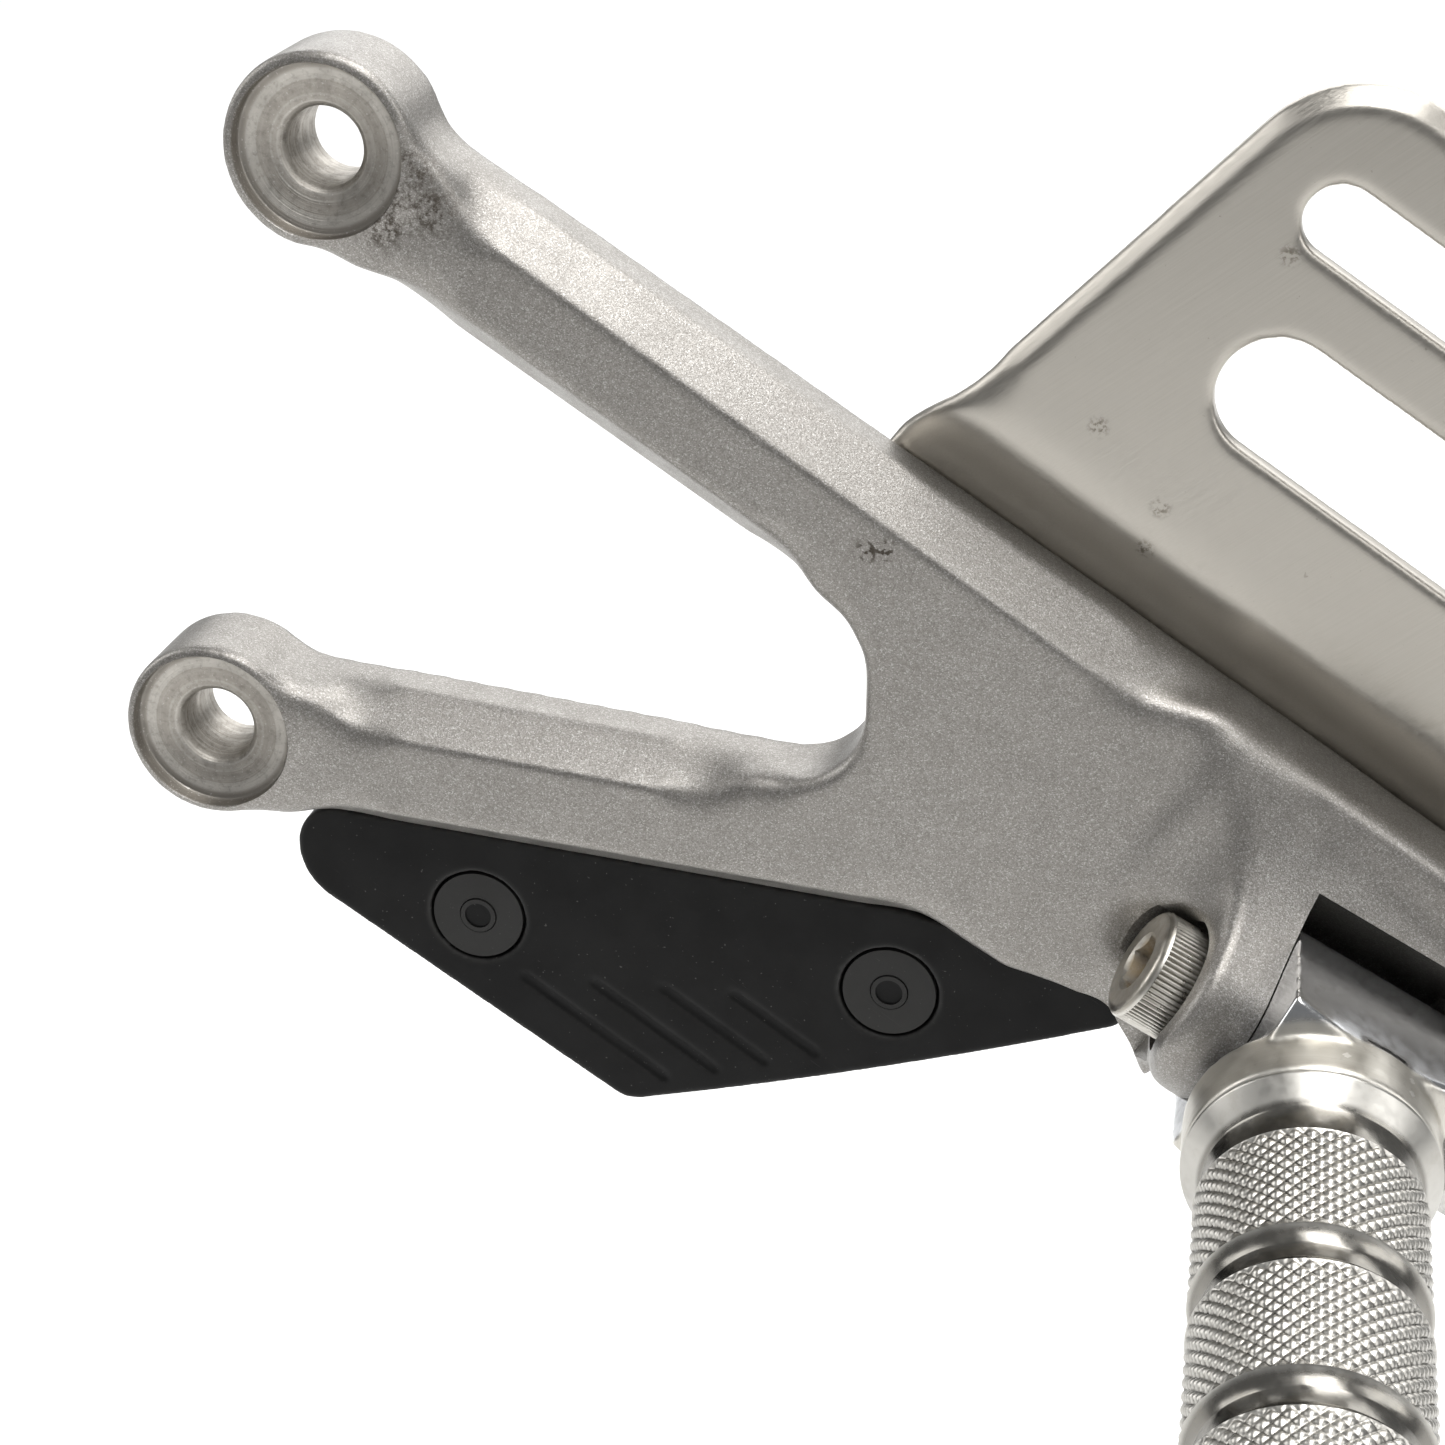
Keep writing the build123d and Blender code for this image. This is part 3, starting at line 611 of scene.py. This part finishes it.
def blended(co):
    """How strongly a place belongs to the blended root of the clevis or to a bevel's end."""
    clevis = 0.65 * faded(np.linalg.norm(co - np.array(PIVOT_AT), axis=1) / MM, 26, 40)
    plan = co[:, [0, 2]] / MM
    ends = faded(np.linalg.norm(plan - np.array(CLEVIS_CORNER), axis=1), 6, 14)
    for place in BEVEL_ENDS:
        ends = np.maximum(ends, faded(np.linalg.norm(plan - np.array(place), axis=1), 3, 7))
    outboard = np.clip(-co[:, 1] / MM / 3, 0, 1)
    return np.maximum(clevis, ends * outboard)


# The pivot's frame turned to look along the peg: x along the bolt, y down.
ACROSS_EAR = PIVOT @ Matrix(((0, 0, 1), (0, -1, 0), (1, 0, 0))).to_4x4()
HEAD_POCKET = [(4.2, -16), (4.2, 13.9), (8.0, 13.9), (8.0, 20), (7.2, 20), (7.2, 23.8), (6.6, 24.8)]
HEAD_POCKET += [(5.4, 25.8), (3.6, 26.6), (1.5, 27)]
NUT_POCKET = [(11.5, -40), (11.5, -18), (4.2, -18), (4.2, -10)]


def seat_plug():
    """Fills the head's pocket up to the ear's sloping lower face while edges are rounded."""
    slope = prism(LOWER_HEEL, -5.5, 24.5, ACROSS_EAR)
    return cut(drum(8.4, 12.5, 19, PIVOT), [slope])


def heel_trim():
    """Takes the thin lip off the ear's lower end."""
    return prism(LIP, -6.2, 24.5, ACROSS_EAR)


def bracket_casting():
    plugs = [drum(10.6, 0.3, BOSS_FRONT, facing_out(place)) for place in (UPPER_BOSS, LOWER_BOSS)]
    plugs.append(prism(ear_outline(), -12.5, 12.5, PIVOT))
    plugs.append(seat_plug())
    plugs.append(drum(6.0, -17, 17, PIVOT))
    mesh = softened("bracket_casting", 0.4, 9, 0.08, plugs, blended)
    mesh = cut(mesh, [boss_cutter(place) for place in (UPPER_BOSS, LOWER_BOSS)])
    fold_room = prism(fold_slot(), -11.5, 11.5, PIVOT)
    head_room = capped(HEAD_POCKET, 96, PIVOT)
    nut_room = capped(NUT_POCKET, 96, PIVOT)
    for cutter in (heel_trim(), fold_room, head_room, nut_room):
        mesh = cut(mesh, [cutter])
    piece = new_object("casting", shade(mesh, 50))
    dress(piece, SILVER, machined_seat("upper_seat", UPPER_BOSS), machined_seat("lower_seat", LOWER_BOSS))
    mark_seats(mesh)
    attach(piece, "bracket")
    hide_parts("bracket_casting")


def mark_seats(mesh):
    """Faces inside the bosses' recesses take the machined finish."""
    for face in mesh.polygons:
        c = face.center / MM
        for slot, place in ((1, UPPER_BOSS), (2, LOWER_BOSS)):
            reach = math.hypot(c.x - place[0], c.z - place[1])
            if reach < 9.75 and -12.6 < c.y < -0.05:
                face.material_index = slot


bracket_casting()

# ---------------------------------------------------------------- guard and pad


def joggle(co):
    """How strongly a place belongs to the guard's wide bends."""
    above = (co[:, 0] * -math.sin(ARM_ANGLE) + co[:, 2] * math.cos(ARM_ANGLE)) / MM
    return 0.9 * faded(np.abs(above - 13), 6, 12)


def softened_piece(name, node, body, material, voxel, rounds, reach, wide=None):
    mesh = softened(node, voxel, rounds, reach, (), wide)
    piece = new_object(name, shade(mesh))
    dress(piece, material)
    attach(piece, body)
    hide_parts(node)
    return piece


softened_piece("guard_sheet", "heel_guard", "bracket", SHEET, 0.4, 3, 0.07, joggle)
softened_piece("pad", "lower_pad", "bracket", PAD, 0.3, 4, 0.06)
softened_piece("knuckle", "peg_knuckle", "peg", KNUCKLE, 0.28, 3, 0.05)

# ---------------------------------------------------------------- peg sleeve

ALONG_PEG = PIVOT @ Matrix.Rotation(math.pi / 2, 4, "Y")
BAND_R = 12.4
BAND_LENGTH = 14.9
BAND_PITCH = 20.3
FIRST_BAND = 27.3
KNURL_DEPTH = 0.42
KNURL_STARTS = 42
KNURL_LEAD = 78.0


def knurl(x, angle):
    """Height of the diamond knurl, 1 on its tips, from two crossed sets of grooves."""
    turn = angle / TURN
    a = KNURL_STARTS * (turn + x / KNURL_LEAD)
    b = KNURL_STARTS * (turn - x / KNURL_LEAD)
    hill = abs(math.sin(math.pi * a)) * abs(math.sin(math.pi * b))
    return hill ** 0.55


def sleeve_radius(radius, x, angle):
    if radius < BAND_R - 0.01:
        return radius
    for band in range(3):
        start = FIRST_BAND + BAND_PITCH * band
        inset = min(x - start, start + BAND_LENGTH - x)
        if -0.001 <= inset:
            fade = min(inset / 0.35, 1)
            return radius - KNURL_DEPTH * (1 - knurl(x, angle)) * fade
    return radius


def sleeve_profile():
    points = [(7.05, 19.65), (13.75, 19.65), (13.98, 19.75), (14.0, 19.95), (13.9, 20.2)]
    points += [(11.75, 22.6), (11.6, 22.9), (11.6, 26.5)]
    rows = 100
    for band in range(3):
        start = FIRST_BAND + BAND_PITCH * band
        end = start + BAND_LENGTH
        points.append((11.62, start - 0.55) if band == 0 else (11.25, start - 1.5))
        points.append((12.2, start - 0.12))
        for row in range(rows + 1):
            points.append((BAND_R, start + BAND_LENGTH * row / rows))
        if band < 2:
            points += [(12.2, end + 0.12), (11.25, end + 1.5), (11.2, end + 1.75), (11.2, end + 3.6)]
    last = FIRST_BAND + BAND_PITCH * 2 + BAND_LENGTH
    points += [(12.38, last + 0.4), (12.3, 86.2), (11.9, 86.9), (10.8, 87.8), (10.4, 88.0)]
    points += [(8.7, 88.0), (8.6, 87.9), (8.6, 81.5), (4.2, 81.5), (4.2, 74.5), (7.05, 74.5)]
    return points


def peg_sleeve():
    profile = sleeve_profile()
    segments = 504
    points, faces = turned(profile, segments, sleeve_radius)
    last = (len(profile) - 1) * segments
    for i in range(segments):
        j = (i + 1) % segments
        faces.append((last + i, last + j, j, i))
    mesh = mesh_from("sleeve", points, faces, ALONG_PEG)
    piece = new_object("sleeve", shade(joined("sleeve", [mesh]), 55))
    dress(piece, SLEEVE)
    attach(piece, "peg")
    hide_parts("peg_sleeve")


peg_sleeve()

# ---------------------------------------------------------------- pivot bolt

HEAD_SEAT = 15.5
FLUTES = 66


def fluted(radius, z, angle):
    """The head's side: fine flutes that run out near its top and bottom."""
    if radius < 6.4 or not HEAD_SEAT + 0.9 < z < HEAD_SEAT + 7.1:
        return radius
    return radius - 0.26 * (1 - abs(math.sin(FLUTES / 2 * angle))) ** 1.1 - 0.02


def pivot_bolt():
    z = HEAD_SEAT
    profile = [(3.3, z - 50), (4.0, z - 49.3), (4.0, z), (6.0, z), (6.45, z + 0.1)]
    profile += [(6.63, z + 0.3), (6.63, z + 0.85)]
    profile += [(6.63, z + 0.95), (6.63, z + 3), (6.63, z + 5), (6.63, z + 7.05), (6.63, z + 7.15)]
    profile += [(6.55, z + 7.35), (6.3, z + 7.7), (5.9, z + 7.95), (5.4, z + 8)]
    body = joined("bolt", [capped(profile, FLUTES * 8, PIVOT, fluted)])
    corner = 3.46
    angles = [TURN * (i + 0.3) / 6 for i in range(6)]
    hexagon = [(corner * math.cos(a), corner * math.sin(a)) for a in angles]
    socket = prism(hexagon, z + 3.8, z + 9, PIVOT)
    lead_in = capped([(3.0, z + 7.5), (3.75, z + 8.05), (3.75, z + 9)], 64, PIVOT)
    mesh = cut(cut(body, [socket]), [lead_in])
    piece = new_object("bolt", shade(mesh, 35))
    dress(piece, BOLT)
    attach(piece, "bracket")
    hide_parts("pivot_bolt")


pivot_bolt()

# ---------------------------------------------------------------- carried-over hardware

CARRIED = {
    "guard_screws": PLATED,
    "guard_washers": PLATED,
    "guard_inserts": PLATED,
    "pad_rivets": PAD,
    "pad_rivet_pins": PAD,
    "pivot_washer": PLATED,
    "pivot_bush": GROUND,
    "nut_washer": PLATED,
    "pivot_nut": PLATED,
    "return_spring": DRAWN,
    "knuckle_liners": BRONZE,
    "sleeve_dowel": GROUND,
    "peg_end_washer": PLATED,
    "peg_end_bolt": PLATED,
}
for node, material in CARRIED.items():
    thing = frame["nodes"][node]
    dress(thing, material)
    rounding = thing.modifiers.new("rounding", "BEVEL")
    rounding.width = 0.12 * MM
    rounding.segments = 2
    rounding.limit_method = "ANGLE"
    rounding.angle_limit = math.radians(40)

# ---------------------------------------------------------------- stage

FLOOR_GAP = 0.09
FLOOR_Z = cad_low.z - FLOOR_GAP
floor_mesh = bpy.data.meshes.new("floor")
FLOOR_REACH = 8.0
sides = [(-1, -1), (1, -1), (1, 1), (-1, 1)]
corners = [(x * FLOOR_REACH, y * FLOOR_REACH, FLOOR_Z) for x, y in sides]
floor_mesh.from_pydata(corners, [], [(0, 1, 2, 3)])
floor = new_object("floor", floor_mesh)
dress(floor, floor_finish())


def softbox(name, place, target, width, height, power):
    """A rectangular soft light at a place, in metres and watts, turned to a target."""
    light = bpy.data.lights.new(name, "AREA")
    light.shape = "RECTANGLE"
    light.size = width
    light.size_y = height
    light.energy = power
    lamp = new_object(name, light)
    lamp.location = place
    lamp.rotation_euler = (Vector(target) - Vector(place)).to_track_quat("-Z", "Y").to_euler()


middle = (cad_low + cad_high) / 2
softbox("top", (0.28, -0.02, 0.9), (0.15, 0, 0), 1.35, 0.55, 15)
softbox("back", (0.1, 1.5, 0.75), middle, 2.4, 1.0, 18)
softbox("left", (-1.0, 0.1, 0.45), middle, 0.6, 0.8, 4)
softbox("right", (1.0, -0.3, 0.4), middle, 0.5, 0.7, 3)

world = bpy.data.worlds.new("room")
bpy.context.scene.world = world
world.use_nodes = True
sky = world.node_tree.nodes["Background"]
sky.inputs["Color"].default_value = (0.93, 0.94, 0.95, 1)
sky.inputs["Strength"].default_value = 0.3

camera_data = bpy.data.cameras.new("camera")
camera_data.lens = 74.94
camera_data.sensor_width = 36
camera_data.clip_start = 0.01
camera_data.clip_end = 50
camera = new_object("camera", camera_data)
camera.location = (0.11367, -0.31783, 0.07696)
camera.rotation_euler = Vector((-0.1997, 0.8904, -0.4090)).to_track_quat("-Z", "Y").to_euler()
bpy.context.scene.camera = camera
bpy.context.scene.view_settings.view_transform = "Standard"
